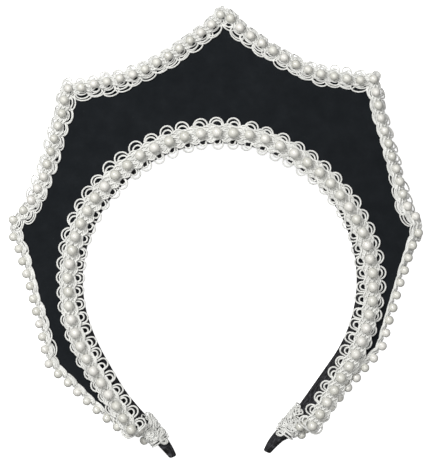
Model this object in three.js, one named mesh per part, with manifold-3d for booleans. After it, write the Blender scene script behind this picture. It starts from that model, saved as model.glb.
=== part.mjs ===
// A headband French hood, lying on its back with its face up. Millimetres, +Z out of the face.
// A stiff fabric-covered crescent with seven points stands on the front edge of a covered headband.
// One pearl braid lies along the opening over the brow, and a finer one is folded over the outer edge.
// Both braids are tucked under a short piece of braid wound round each end of the headband.
import * as THREE from 'three';
import { mergeVertices } from 'three/addons/utils/BufferGeometryUtils.js';
import Module from 'manifold-3d';

const wasm = await Module();
wasm.setup();

// Headband: an arc, a straight arm on each side, and a tip that turns back a little.
const CROWN_RADIUS = 62; // inner radius of the arc
const CROWN_SWEEP = 125.5; // degrees of arc on each side of the top
const ARM_LENGTH = 43;
const TIP_LENGTH = 11;
const TIP_FLARE = 15; // degrees that the tip turns back
const BAND_THICKNESS = 2.6;
const BAND_WIDTH = 14; // front to back, at the top
const BAND_CHAMFER = 0.5;
const TIP_WIDTH = 3.2;
const TIP_TWIST = 45; // degrees that the arms lean their inner face to the front
const TWIST_START = 0.5; // share of the panel's arc at which the lean begins

// Crescent panel.
const PANEL_THICKNESS = 2.4;
const PANEL_CHAMFER = 0.6;
const PANEL_INSET = 0.8; // its inner edge, outwards from the headband's inner face
const CROWN_REACH = 58.5; // from the headband's inner face to the top point
const LEAN = 2; // degrees that the face leans back towards the arms
const WING_SWEEP = 6; // how far the side points lie behind the middle

// Brow braid, flat on the face.
const BROW_INSET = 3.6; // its pearl row, outwards from the panel's inner edge
const BROW_OUTER_WIDTH = 6.5; // from the pearl row to the loops' ends, away from the opening
const BROW_INNER_WIDTH = 7.4;
const BROW_END_WIDTH = 4.4; // outer width at the ends, where the loops are crowded
const BROW_THICKNESS = 1.2;
const BROW_PITCH = 6.6;
const BROW_PEARL_RADIUS = 2.5;
const BROW_LIFT_START = 0.56; // share of the panel's arc at which it climbs over the edge braid
const BROW_LIFT_END = 0.7;

// Edge braid, folded over the panel's outer edge.
const EDGE_WIDTH = 12.2;
const EDGE_THICKNESS = 0.9;
const EDGE_PITCH = 6;
const EDGE_PEARL_RADIUS = 2;
const EDGE_LEAST_FLAP = 0.3;

// Short piece of braid wound round each arm, and the bare tip beyond it.
const WRAP_LENGTH = 11;
const WRAP_THICKNESS = 1.2;
const WRAP_BULK = 2.8; // where it is gathered, at the outer front corner
const WRAP_PEARLS = { left: 1, right: 3 };
const BARE_TIP = 8;

const GAP = 0.3; // between pieces that touch
const PEARL_SIDES = 10;
const PEARL_SHOULDER = 50; // degrees from a pearl's widest line up to its upper ring of corners
const PEARL_SEAT = 0.72; // height of a pearl's centre over its braid, as a share of its radius
const PEARL_SUNK = 0.6; // how deep a pearl's stalk is set in its braid
const STALK_SIDES = 3;
const STALK_WIDTH = 0.7; // from the stalk's axis to its corners, as a share of the pearl's radius
const STALK_TOP = 0.6; // from the pearl's centre down to the stalk's top, as a share of its radius
const SCALLOP_WAIST = 0.62; // width of the brow braid between two loops, as a share of the width at a loop
const SCALLOP_NOTCH = 0.2; // length of half a notch between two loops, as a share of the pitch
const EDGE_STEP = 13; // length of one facet along the outer edge

// Points of the outline, from the left end over the top to the right end. along is a share of the panel's
// arc, minus to the left, and reach a share of CROWN_REACH. row is where the pearl row lies, as a share of the
// quarter turn from the outermost line of the fold to the face, and face is the share of the edge braid's
// width that lies in over the face. dip and dipAt shape the stretch to the next point: the depth of its
// control point as a share of the chord, and how far along the chord it lies.
const OUTLINE = [
  { at: 'left end', along: -1, reach: 0.175, row: -0.3, face: 0.13, dip: -0.08, dipAt: 0.3 },
  { at: 'lower left point', along: -0.727, reach: 0.4, row: -0.4, face: 0.15, dip: 0.055, dipAt: 0.5 },
  { at: 'left point', along: -0.478, reach: 0.583, row: 0.25, face: 0.34, dip: 0.12, dipAt: 0.25 },
  { at: 'upper left point', along: -0.249, reach: 0.836, row: 1.1, face: 0.59, dip: 0.165, dipAt: 0.34 },
  { at: 'top point', along: 0.004, reach: 1, row: 1, face: 0.64, dip: 0.2, dipAt: 0.68 },
  { at: 'upper right point', along: 0.237, reach: 0.887, row: 1.05, face: 0.5, dip: 0.075, dipAt: 0.82 },
  { at: 'right point', along: 0.472, reach: 0.492, row: 0.15, face: 0.25, dip: 0.02, dipAt: 0.6 },
  { at: 'lower right point', along: 0.722, reach: 0.258, row: -0.43, face: 0.12, dip: 0.03, dipAt: 0.5 },
  { at: 'right end', along: 1, reach: 0.166, row: -0.3, face: 0.12 },
];
const SIDE_REACH = 0.58; // share of CROWN_REACH at the side points, where WING_SWEEP is measured

const radians = THREE.MathUtils.degToRad;
const { clamp, lerp, smoothstep } = THREE.MathUtils;

const crownArc = CROWN_RADIUS * radians(CROWN_SWEEP);
const bandArc = crownArc + ARM_LENGTH + TIP_LENGTH;
const panelArc = bandArc - BARE_TIP - WRAP_LENGTH - GAP;
const flareRadius = TIP_LENGTH / radians(TIP_FLARE);
const sideSpan = CROWN_RADIUS + CROWN_REACH * SIDE_REACH;

// Point on the headband's inner face and the direction away from the opening, at an arc length from the top.
function bandFrame(arc) {
  const side = arc < 0 ? -1 : 1;
  const length = Math.abs(arc);
  const turned = Math.min(length, crownArc) / CROWN_RADIUS;
  const straight = clamp(length - crownArc, 0, ARM_LENGTH);
  const heading = turned - Math.max(length - crownArc - ARM_LENGTH, 0) / flareRadius;
  const x = CROWN_RADIUS * Math.sin(turned) + straight * Math.cos(turned)
    + flareRadius * (Math.sin(turned) - Math.sin(heading));
  const y = CROWN_RADIUS * Math.cos(turned) - straight * Math.sin(turned)
    + flareRadius * (Math.cos(turned) - Math.cos(heading));
  return {
    point: new THREE.Vector2(side * x, y),
    outward: new THREE.Vector2(side * Math.sin(heading), Math.cos(heading)),
  };
}

// The point at a distance outwards from the headband's inner face.
function beside(arc, distance) {
  const { point, outward } = bandFrame(arc);
  return point.addScaledVector(outward, distance);
}

// Height of the panel's back over the floor.
function panelBack(point) {
  return BAND_WIDTH + GAP + Math.tan(radians(LEAN)) * (point.y - CROWN_RADIUS)
    - WING_SWEEP * (point.x / sideSpan) ** 2;
}

function twistAt(arc) {
  return radians(TIP_TWIST) * smoothstep(Math.abs(arc), TWIST_START * panelArc, panelArc);
}

// A point of the headband's section: across runs through its thickness and along up its width, and grown
// pushes every side outwards. Returns the distance from the inner face and the height over its lowest corner.
function sectionPoint(twist, across, along) {
  return {
    outwards: along * Math.sin(twist) + across * Math.cos(twist),
    height: (BAND_THICKNESS - across) * Math.sin(twist) + along * Math.cos(twist),
  };
}

// The chamfered section as two skins of four points, from the front edge to the back edge.
function sectionSkins(twist, width, grown) {
  const cut = BAND_CHAMFER + grown * (2 - Math.SQRT2);
  const low = -grown;
  const thick = BAND_THICKNESS + grown;
  const wide = width + grown;
  const outer = [[thick - cut, wide], [thick, wide - cut], [thick, low + cut], [thick - cut, low]];
  const inner = [[low + cut, wide], [low, wide - cut], [low, low + cut], [low + cut, low]];
  return [outer, inner].map((skin) => skin.map(([across, along]) => sectionPoint(twist, across, along)));
}

// The arms rise so that the braid wound round them rests on the floor with the top of the headband.
const wrapDrop = -Math.min(...sectionSkins(radians(TIP_TWIST), 2 * TIP_WIDTH, GAP + WRAP_THICKNESS)
  .flat().map((corner) => corner.height));
function riseAt(arc) {
  return wrapDrop * smoothstep(Math.abs(arc), TWIST_START * panelArc, panelArc);
}

// The headband is as wide as it has to be to carry the panel on its front edge, and narrows at the tips.
function bandWidth(arc) {
  const carried = clamp(arc, -panelArc, panelArc);
  const twist = twistAt(carried);
  let width = BAND_WIDTH;
  for (let pass = 0; pass < 4; pass += 1) {
    const top = panelBack(beside(carried, width * Math.sin(twist))) - GAP - riseAt(carried);
    width = (top - BAND_THICKNESS * Math.sin(twist)) / Math.cos(twist);
  }
  const past = clamp((Math.abs(arc) - bandArc + BARE_TIP) / BARE_TIP, 0, 1);
  return lerp(width, TIP_WIDTH, past ** 2);
}

// Distance of the panel's inner edge from the headband's inner face.
function innerReach(arc) {
  return PANEL_INSET + bandWidth(arc) * Math.sin(twistAt(arc));
}

// The outline's points, and the curves between them.
const corners = OUTLINE.map((row) => beside(row.along * panelArc, row.reach * CROWN_REACH));
const stretches = OUTLINE.slice(0, -1).map((row, index) => {
  const start = corners[index];
  const end = corners[index + 1];
  const chord = end.clone().sub(start);
  const inwards = new THREE.Vector2(chord.y, -chord.x);
  const control = start.clone().addScaledVector(chord, row.dipAt).addScaledVector(inwards, row.dip);
  return new THREE.QuadraticBezierCurve(start, control, end);
});

function outwardOf(tangent) {
  return new THREE.Vector2(-tangent.y, tangent.x);
}

// At each point of the outline: the direction out of the corner and half of its inner angle.
const mitres = corners.map((corner, index) => {
  const before = stretches[Math.max(index - 1, 0)].getTangent(index ? 1 : 0);
  const after = stretches[Math.min(index, stretches.length - 1)].getTangent(index < stretches.length ? 0 : 1);
  const outward = outwardOf(before).add(outwardOf(after)).normalize();
  return { corner, outward, sine: outward.dot(outwardOf(before)) };
});

// A place on the outer edge: the share of one stretch, its arc on the headband, and how the braid lies.
function edgeStation(index, share) {
  const stretch = stretches[index];
  const from = OUTLINE[index];
  const to = OUTLINE[index + 1];
  const tangent = stretch.getTangentAt(share);
  const mitre = share === 0 ? mitres[index] : share === 1 ? mitres[index + 1] : null;
  return {
    index,
    mitre,
    tangent,
    point: stretch.getPointAt(share),
    outward: mitre ? mitre.outward : outwardOf(tangent),
    arc: lerp(from.along, to.along, share) * panelArc,
    row: lerp(from.row, to.row, share),
    face: lerp(from.face, to.face, share),
  };
}

// A point at a distance out of the edge, kept on its own side of the mitre where two flaps meet at a corner.
const MITRE_SPREAD = 0.12;
function offEdge(station, distance) {
  if (station.mitre) {
    const stretchOut = distance < 0 ? 1 / station.mitre.sine : 1;
    return station.point.clone().addScaledVector(station.outward, distance * stretchOut);
  }
  const place = station.point.clone().addScaledVector(station.outward, distance);
  [[mitres[station.index], 1], [mitres[station.index + 1], -1]].forEach(([mitre, side]) => {
    const away = new THREE.Vector2(mitre.outward.y, -mitre.outward.x).multiplyScalar(side);
    const least = MITRE_SPREAD * station.point.distanceTo(mitre.corner);
    const lacking = least - place.clone().sub(mitre.corner).dot(away);
    if (lacking > 0) {
      const slide = station.tangent.clone().multiplyScalar(side);
      place.addScaledVector(slide, lacking / slide.dot(away));
    }
  });
  return place;
}

// Stations along the whole outer edge, with one at each point of the outline.
const edgeStations = stretches.flatMap((stretch, index) => {
  const count = Math.round(stretch.getLength() / EDGE_STEP);
  const last = index === stretches.length - 1;
  return Array.from({ length: last ? count + 1 : count }, (_, i) => edgeStation(index, i / count));
});

// A closed mesh between two grids of points. Stations run along the piece and places across it, and
// stations cross places points out of the front grid. A ring closes across on itself.
function slab(front, back, ring = false) {
  const rows = front.length;
  const columns = front[0].length;
  const positions = [...front.flat(), ...back.flat()].flatMap((p) => [p.x, p.y, p.z]);
  const at = (row, column, layer) => layer * rows * columns + row * columns + (column % columns);
  const faces = [];
  const quad = (a, b, c, d) => faces.push(a, b, c, a, c, d);
  const lastColumn = ring ? columns : columns - 1;
  for (let row = 0; row < rows - 1; row += 1) {
    for (let column = 0; column < lastColumn; column += 1) {
      quad(at(row, column, 0), at(row + 1, column, 0), at(row + 1, column + 1, 0), at(row, column + 1, 0));
      quad(at(row, column, 1), at(row, column + 1, 1), at(row + 1, column + 1, 1), at(row + 1, column, 1));
    }
    if (!ring) {
      quad(at(row + 1, 0, 0), at(row, 0, 0), at(row, 0, 1), at(row + 1, 0, 1));
      quad(at(row, lastColumn, 0), at(row + 1, lastColumn, 0),
        at(row + 1, lastColumn, 1), at(row, lastColumn, 1));
    }
  }
  for (let column = 0; column < lastColumn; column += 1) {
    quad(at(0, column, 0), at(0, column + 1, 0), at(0, column + 1, 1), at(0, column, 1));
    quad(at(rows - 1, column + 1, 0), at(rows - 1, column, 0),
      at(rows - 1, column, 1), at(rows - 1, column + 1, 1));
  }
  const geometry = new THREE.BufferGeometry();
  geometry.setAttribute('position', new THREE.Float32BufferAttribute(positions, 3));
  geometry.setIndex(faces);
  return geometry;
}

function toSolid(geometry) {
  const bare = geometry.clone();
  bare.deleteAttribute('normal');
  bare.deleteAttribute('uv');
  const merged = mergeVertices(bare, 1e-4);
  return new wasm.Manifold(new wasm.Mesh({
    numProp: 3,
    vertProperties: merged.attributes.position.array,
    triVerts: new Uint32Array(merged.index.array),
  }));
}

function fromSolid(solid) {
  const { vertProperties, triVerts } = solid.getMesh();
  const geometry = new THREE.BufferGeometry();
  geometry.setAttribute('position', new THREE.BufferAttribute(vertProperties, 3));
  geometry.setIndex(new THREE.BufferAttribute(triVerts, 1));
  geometry.computeVertexNormals();
  return geometry;
}

const above = (point, height) => new THREE.Vector3(point.x, point.y, height);

// Stations along the headband between two arcs.
function bandStations(from, to, step) {
  const count = Math.max(1, Math.round((to - from) / step));
  return Array.from({ length: count + 1 }, (_, i) => lerp(from, to, i / count));
}

// One skin of the headband's section, or of a sleeve grown out from it, set at an arc.
function placeSkin(arc, skin) {
  return skin.map(({ outwards, height }) => above(beside(arc, outwards), height + riseAt(arc)));
}

function headband() {
  const grids = bandStations(-bandArc, bandArc, 10).map((arc) => (
    sectionSkins(twistAt(arc), bandWidth(arc), 0).map((skin) => placeSkin(arc, skin))
  ));
  return slab(grids.map(([outer]) => outer), grids.map(([, inner]) => inner));
}

function endWrap(side) {
  const start = panelArc + GAP;
  const arcs = bandStations(start, start + WRAP_LENGTH, WRAP_LENGTH / 4).map((arc) => side * arc);
  const ordered = side < 0 ? arcs.reverse() : arcs;
  const ring = (arc, thickness, bulk) => {
    const skins = (grown) => sectionSkins(twistAt(arc), bandWidth(arc), GAP + grown);
    const [outer, inner] = skins(thickness);
    const [gathered] = skins(bulk);
    return placeSkin(arc, [...gathered.slice(0, 2), ...outer.slice(2), ...inner.reverse()]);
  };
  const sleeve = slab(
    ordered.map((arc, i) => {
      const puff = i % 2 ? 1 : 0.8;
      return ring(arc, puff * WRAP_THICKNESS, puff * WRAP_BULK);
    }),
    ordered.map((arc) => ring(arc, 0, 0)),
    true,
  );
  const middle = ordered[2];
  const seats = ring(middle, WRAP_THICKNESS, WRAP_BULK);
  const pearls = [[seats[1], 20], [seats[0], 65], [seats[7], 110]]
    .slice(0, side < 0 ? WRAP_PEARLS.left : WRAP_PEARLS.right)
    .map(([seat, turned]) => {
      const level = bandFrame(middle).outward.multiplyScalar(Math.cos(radians(turned)));
      const upwards = above(level, Math.sin(radians(turned)));
      return pearl(EDGE_PEARL_RADIUS, seat.addScaledVector(upwards, EDGE_PEARL_RADIUS / 2), upwards);
    });
  return fused(sleeve, pearls);
}

// The panel: across it from the inner edge to the outer, with both edges chamfered.
function crownPanel() {
  const half = PANEL_THICKNESS / 2;
  const side = (station, face) => {
    const inner = beside(station.arc, innerReach(station.arc));
    const inwards = inner.sub(station.point);
    const cut = PANEL_CHAMFER / inwards.length();
    return [1, 1 - cut, cut, 0].map((share, i) => {
      const place = station.point.clone().addScaledVector(inwards, share);
      const edge = i === 0 || i === 3;
      return above(place, panelBack(place) + half + face * (edge ? half - PANEL_CHAMFER : half));
    });
  };
  return slab(edgeStations.map((s) => side(s, 1)), edgeStations.map((s) => side(s, -1)));
}

// Triangles between two closed rings of points that may differ in number, or between a ring and one point.
function between(lower, upper) {
  const lowerSteps = lower.length > 1 ? lower.length : 0;
  const upperSteps = upper.length > 1 ? upper.length : 0;
  const corners = [];
  for (let i = 0, j = 0; i < lowerSteps || j < upperSteps;) {
    const onLower = j === upperSteps || (i < lowerSteps && (i + 1) * upperSteps <= (j + 1) * lowerSteps);
    const from = [lower[i % lower.length], upper[j % upper.length]];
    if (onLower) i += 1; else j += 1;
    corners.push(from[0], onLower ? lower[i % lower.length] : upper[j % upper.length], from[1]);
  }
  return corners;
}

// A pearl on a short stalk sunk in its braid, upright on a direction.
function pearl(radius, centre, upwards) {
  const ring = (sides, height, reach) => Array.from({ length: sides }, (_, i) => {
    const angle = 2 * Math.PI * (i + 0.5) / sides;
    return new THREE.Vector3(reach * Math.cos(angle), reach * Math.sin(angle), height);
  });
  const foot = -radius * PEARL_SEAT - PEARL_SUNK;
  const shoulder = radians(PEARL_SHOULDER);
  const rings = [
    ring(1, foot, 0),
    ring(STALK_SIDES, foot, radius * STALK_WIDTH),
    ring(STALK_SIDES, -radius * STALK_TOP, radius * STALK_WIDTH),
    ring(PEARL_SIDES, 0, radius),
    ring(PEARL_SIDES / 2, radius * Math.sin(shoulder), radius * Math.cos(shoulder)),
    ring(1, radius, 0),
  ];
  const geometry = new THREE.BufferGeometry().setFromPoints(
    rings.slice(1).flatMap((upper, i) => between(rings[i], upper)),
  );
  geometry.applyQuaternion(new THREE.Quaternion().setFromUnitVectors(new THREE.Vector3(0, 0, 1), upwards));
  geometry.translate(centre.x, centre.y, centre.z);
  return toSolid(geometry);
}

function fused(braid, pearls) {
  return fromSolid(wasm.Manifold.union([toSolid(braid), ...pearls]));
}

const browRow = new THREE.SplineCurve(
  bandStations(-panelArc, panelArc, 5).map((arc) => beside(arc, innerReach(arc) + BROW_INSET)),
);

// Height of the brow braid's underside: it lies on the face, and on the arms over the edge braid.
function browFloor(place, share) {
  const along = Math.abs(2 * share - 1);
  const lift = (EDGE_THICKNESS + GAP) * smoothstep(along, BROW_LIFT_START, BROW_LIFT_END);
  return panelBack(place) + PANEL_THICKNESS + GAP + lift;
}

function browTrim() {
  const count = Math.round(browRow.getLength() / BROW_PITCH);
  const notches = Array.from({ length: count }, (_, i) => [i, i + SCALLOP_NOTCH, i + 1 - SCALLOP_NOTCH]);
  const skin = (step, height) => {
    const share = step / count;
    const centre = browRow.getPointAt(share);
    const outward = outwardOf(browRow.getTangentAt(share));
    const width = Number.isInteger(step) ? SCALLOP_WAIST : 1;
    const crowded = smoothstep(Math.abs(2 * share - 1), BROW_LIFT_START, 1);
    return [-BROW_INNER_WIDTH, lerp(BROW_OUTER_WIDTH, BROW_END_WIDTH, crowded)].map((across) => {
      const place = centre.clone().addScaledVector(outward, across * width);
      return above(place, browFloor(place, share) + height);
    });
  };
  const steps = [...notches.flat(), count];
  const braid = slab(steps.map((step) => skin(step, BROW_THICKNESS)), steps.map((step) => skin(step, 0)));
  const pearls = notches.map(([step]) => {
    const share = (step + 0.5) / count;
    const place = browRow.getPointAt(share);
    const height = browFloor(place, share) + BROW_THICKNESS + PEARL_SEAT * BROW_PEARL_RADIUS;
    return pearl(BROW_PEARL_RADIUS, above(place, height), new THREE.Vector3(0, 0, 1));
  });
  return fused(braid, pearls);
}

// The edge braid's fold about the panel's edge, in flats of foldStep that keep the gap to the panel.
const foldStep = Math.PI / 4;
const foldInner = (PANEL_THICKNESS / 2 + GAP) / Math.cos(foldStep / 2);
const foldMiddle = foldInner + EDGE_THICKNESS / 2;
const foldQuarter = foldMiddle * Math.PI / 2;

// Where a distance round the fold lies: outwards from the panel's edge, and up from the panel's middle.
function foldPlace(around, radius) {
  const turned = clamp(around / foldMiddle, -Math.PI / 2, Math.PI / 2);
  const flap = Math.max(Math.abs(around) - foldQuarter, 0);
  return {
    turned,
    outwards: radius * Math.cos(turned) - flap - PANEL_THICKNESS / 2,
    up: Math.abs(around) < foldQuarter ? radius * Math.sin(turned)
      : Math.sign(around) * (radius - foldInner + PANEL_THICKNESS / 2 + GAP),
  };
}

// The widest that the back flap may be before it meets the headband.
function backRoom(station) {
  const twist = twistAt(station.arc);
  const carried = bandWidth(station.arc) * Math.sin(twist) + BAND_THICKNESS * Math.cos(twist);
  return station.point.distanceTo(beside(station.arc, carried)) - PANEL_THICKNESS / 2 - GAP;
}

function edgeTrim() {
  const skin = (station, radius) => {
    const front = Math.max(station.face * EDGE_WIDTH - PANEL_THICKNESS / 2, EDGE_LEAST_FLAP);
    const rest = EDGE_WIDTH - 2 * foldQuarter - front;
    const back = clamp(rest, EDGE_LEAST_FLAP, backRoom(station));
    return [foldQuarter + front, foldQuarter, foldQuarter / 2, 0, -foldQuarter / 2, -foldQuarter,
      -foldQuarter - back].map((around) => {
      const { outwards, up } = foldPlace(around, radius);
      const place = offEdge(station, outwards);
      return above(place, panelBack(place) + PANEL_THICKNESS / 2 + up);
    });
  };
  const braid = slab(
    edgeStations.map((station) => skin(station, foldInner + EDGE_THICKNESS)),
    edgeStations.map((station) => skin(station, foldInner)),
  );
  return fused(braid, edgePearls());
}

// Pearls evenly spaced along the whole outer edge, turned with the fold.
function edgePearls() {
  const lengths = stretches.map((stretch) => stretch.getLength());
  const total = lengths.reduce((sum, length) => sum + length, 0);
  const count = Math.round(total / EDGE_PITCH);
  return Array.from({ length: count }, (_, i) => {
    let left = (i + 0.5) * total / count;
    const index = lengths.findIndex((length) => {
      left -= length;
      return left <= 0;
    });
    const station = edgeStation(index, 1 + left / lengths[index]);
    const radius = foldInner + EDGE_THICKNESS + PEARL_SEAT * EDGE_PEARL_RADIUS;
    const { turned, outwards, up } = foldPlace(station.row * foldQuarter, radius);
    const place = offEdge(station, outwards);
    const level = station.outward.clone().multiplyScalar(Math.cos(turned));
    return pearl(
      EDGE_PEARL_RADIUS,
      above(place, panelBack(place) + PANEL_THICKNESS / 2 + up),
      above(level, Math.sin(turned)),
    );
  });
}

const bandCloth = new THREE.MeshStandardMaterial({ color: '#2b2b2d', roughness: 0.75 });
const panelCloth = new THREE.MeshStandardMaterial({ color: '#1e2226', roughness: 0.95 });
const pearlBraid = new THREE.MeshStandardMaterial({ color: '#e9e8e0', roughness: 0.55 });

const hood = new THREE.Group();
[
  ['headband', headband(), bandCloth],
  ['crown_panel', crownPanel(), panelCloth],
  ['brow_trim', browTrim(), pearlBraid],
  ['edge_trim', edgeTrim(), pearlBraid],
  ['end_wrap_left', endWrap(-1), pearlBraid],
  ['end_wrap_right', endWrap(1), pearlBraid],
].forEach(([name, geometry, material]) => {
  const mesh = new THREE.Mesh(geometry, material);
  mesh.name = name;
  hood.add(mesh);
});

// The origin is on the floor, under the middle of the whole.
const whole = new THREE.Box3().setFromObject(hood);
const middle = whole.getCenter(new THREE.Vector3());
hood.position.set(-middle.x, -middle.y, -whole.min.z);

export default hood;
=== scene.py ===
# A French hood on a headband, lying face up: black cloth crescent, charcoal ribbon, two pearl braids.
# Lengths are metres in the part's own frame, with +Z out of the face and +Y towards the top point.
import math
import random

import bpy
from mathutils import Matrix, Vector, noise


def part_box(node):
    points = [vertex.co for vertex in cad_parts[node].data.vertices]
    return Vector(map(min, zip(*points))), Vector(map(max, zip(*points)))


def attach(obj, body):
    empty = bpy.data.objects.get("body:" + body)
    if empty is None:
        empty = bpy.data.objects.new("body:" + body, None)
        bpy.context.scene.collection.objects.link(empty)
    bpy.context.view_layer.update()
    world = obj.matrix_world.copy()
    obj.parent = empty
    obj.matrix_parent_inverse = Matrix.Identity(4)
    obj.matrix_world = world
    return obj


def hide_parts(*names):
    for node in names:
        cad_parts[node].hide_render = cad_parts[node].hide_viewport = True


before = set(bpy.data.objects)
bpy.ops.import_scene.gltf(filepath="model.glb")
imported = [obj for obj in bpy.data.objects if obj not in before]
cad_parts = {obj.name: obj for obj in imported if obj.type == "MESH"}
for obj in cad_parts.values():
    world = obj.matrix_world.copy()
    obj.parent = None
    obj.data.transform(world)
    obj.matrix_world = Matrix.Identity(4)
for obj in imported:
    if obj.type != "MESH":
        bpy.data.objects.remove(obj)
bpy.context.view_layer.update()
bpy.ops.object.select_all(action="DESELECT")

MM = 0.001

# Headband: an arc, a straight arm on each side, and a tip that turns back a little.
CROWN_RADIUS = 62 * MM
CROWN_SWEEP = math.radians(125.5)
ARM_LENGTH = 43 * MM
TIP_LENGTH = 11 * MM
TIP_FLARE = math.radians(15)
BAND_THICKNESS = 2.6 * MM
BAND_WIDTH = 14 * MM
BAND_CHAMFER = 0.5 * MM
TIP_WIDTH = 3.2 * MM
TIP_TWIST = math.radians(45)
TWIST_START = 0.5
BARE_TIP = 8 * MM

# Crescent panel, with the ripple in its cloth.
PANEL_THICKNESS = 2.4 * MM
PANEL_INSET = 0.8 * MM
CROWN_REACH = 58.5 * MM
LEAN = math.radians(2)
WING_SWEEP = 6 * MM
SIDE_REACH = 0.58
RIPPLE_DEPTH = 0.25 * MM
RIPPLE_LENGTH = 14 * MM

# The gap that the solids keep between neighbouring pieces.
GAP = 0.3 * MM

# Brow braid, flat on the face: its pearl row, how it climbs over the edge braid on the arms, how much wider
# apart its pearls stand over the crown, and how long its loops are.
BROW_INSET = 3.6 * MM
BROW_PITCH = 6.6 * MM
BROW_PEARL = 2.4 * MM
BROW_LIFT = 1.1 * MM
BROW_LIFT_START = 0.56
BROW_LIFT_END = 0.7
BROW_CORD = 0.4 * MM
CROWN_STRETCH = 0.16
BROW_OUTER_TOP = 6.9 * MM
BROW_OUTER_UPPER_RIGHT = 5.9 * MM
BROW_OUTER_LEFT = 5.1 * MM
BROW_OUTER_RIGHT = 4.9 * MM
BROW_INNER = 7.3 * MM

# Edge braid, folded over the panel's outer edge: how loosely its outer loops bend, how far it is bunched at
# the outline's points, and how long its outer loops and how wide its inner ones are.
EDGE_WIDTH = 12.2 * MM
EDGE_THICKNESS = 0.9 * MM
EDGE_PITCH = 6 * MM
EDGE_PEARL = 2 * MM
EDGE_CORD = 0.37 * MM
TIGHT_FOLD = 3.6 * MM
LOOSE_FOLD = 8 * MM
CORNER_BUNCH = 1.1 * MM
BUNCH_WIDTH = 5 * MM
LOW_BUNCH_SHARE = 0.8
LOW_BUNCH_SHIFT = 4 * MM
EDGE_OUTER = 5.6 * MM
EDGE_OUTER_FLARED = 6.6 * MM
EDGE_INNER_WIDTH = 3.9 * MM
EDGE_INNER_SLIM = 3.1 * MM

# The loops round each pearl of the edge braid, the largest first: each one's share of the width, of the inner
# and of the outer length, and by how many cords it is lifted.
EDGE_LOOPS = [(1, 1, 1, 0), (0.82, 0.84, 0.8, 0.3), (0.64, 0.68, 0.62, 0.8), (0.5, 0.5, 0.46, 1.3)]

# Short pieces of braid wound round the arms, once round in about RING_LENGTH, with loops laid on them.
WRAP_LENGTH = 11 * MM
WRAP_THICKNESS = 1.2 * MM
WRAP_TURNS = 12
WRAP_STEPS = 18
WRAP_CORD = 0.4 * MM
WRAP_LOOP_CORD = 0.33 * MM
WRAP_PEARL_LIFT = 2.6 * MM
RING_LENGTH = 30 * MM

# The loops gathered over a winding: how many, and the ranges for the share along it, the turn round it, the
# length in mm and the lift. Most lie on its first two thirds, and some at its start, towards the opening.
WRAP_LOOPS = [(30, (0.02, 0.66), (0.14, 0.72), (1.6, 2.8), (1.2, 2)),
              (14, (-0.35, 0.1), (0.46, 0.72), (1.4, 2.2), (1.2, 1.8))]

# The pearls on each winding, as shares along it and turns round it.
LEFT_WRAP_PEARLS = [(0.5, 0.12), (0.1, 0.12), (0.02, 0.28)]
RIGHT_WRAP_PEARLS = [(0.25, 0.13), (0.55, 0.15), (0.3, 0.32), (0.02, 0.3)]

# The hood is sewn by hand and not quite even. The right arm is shorter, both ends are bent in, both windings
# begin further up, the edge braid sits further in on the left arm, and the ribbon is drawn in at both tips.
RIGHT_PULL = 1.8 * MM
LEFT_BEND = 0.6 * MM
RIGHT_BEND = 2.2 * MM
LEFT_WRAP_PULL = 1 * MM
RIGHT_WRAP_PULL = 3 * MM
LEFT_INSET = 0.8 * MM
RIBBON_DRAWN_IN = 2.2 * MM

# Where the sewing strays: the middle and the width of each place, and how far. The headband, its ribbon and
# the brow row are read at an arc length from the top, and the edge braid at a share of the panel's arc.
BAND_STRAYS = [(-100 * MM, 36 * MM, 1.1 * MM)]
RIBBON_NARROWS = [(-151 * MM, 20 * MM, 3.6 * MM)]
BROW_STRAYS_LEFT = [(-92 * MM, 35 * MM, 2.3 * MM)]
BROW_STRAYS_RIGHT = [(94 * MM, 25 * MM, 1.6 * MM), (45 * MM, 25 * MM, -0.9 * MM),
                     (145 * MM, 22 * MM, -0.6 * MM)]
EDGE_STRAYS = [(-0.4, 0.05, -1.4 * MM), (-0.205, 0.04, 2 * MM), (0.2, 0.035, 1.2 * MM), (0.43, 0.02, -1 * MM)]
OUTER_LOOP_STRAYS = [(-0.42, 0.04, 1 * MM), (-0.205, 0.05, -1.4 * MM), (0.2, 0.04, -0.8 * MM),
                     (0.43, 0.03, 1.8 * MM)]

# Where the edge's outer loops stand off, by shares of the panel's arc: middle and width above the left point
# and by both upper ones, and on the right a part of it, from where it sets in to where it fades.
EDGE_FLARES = [(-0.38, 0.09), (-0.2, 0.07), (0.2, 0.06)]
RIGHT_FLARE = 0.7
RIGHT_FLARE_START = (0.24, 0.32)
RIGHT_FLARE_END = (0.5, 0.6)

# Where the edge's loops are slim and lie slanting on each other like shingles.
SHINGLE_MIDDLE = -0.37
SHINGLE_WIDTH = 0.1

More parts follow.
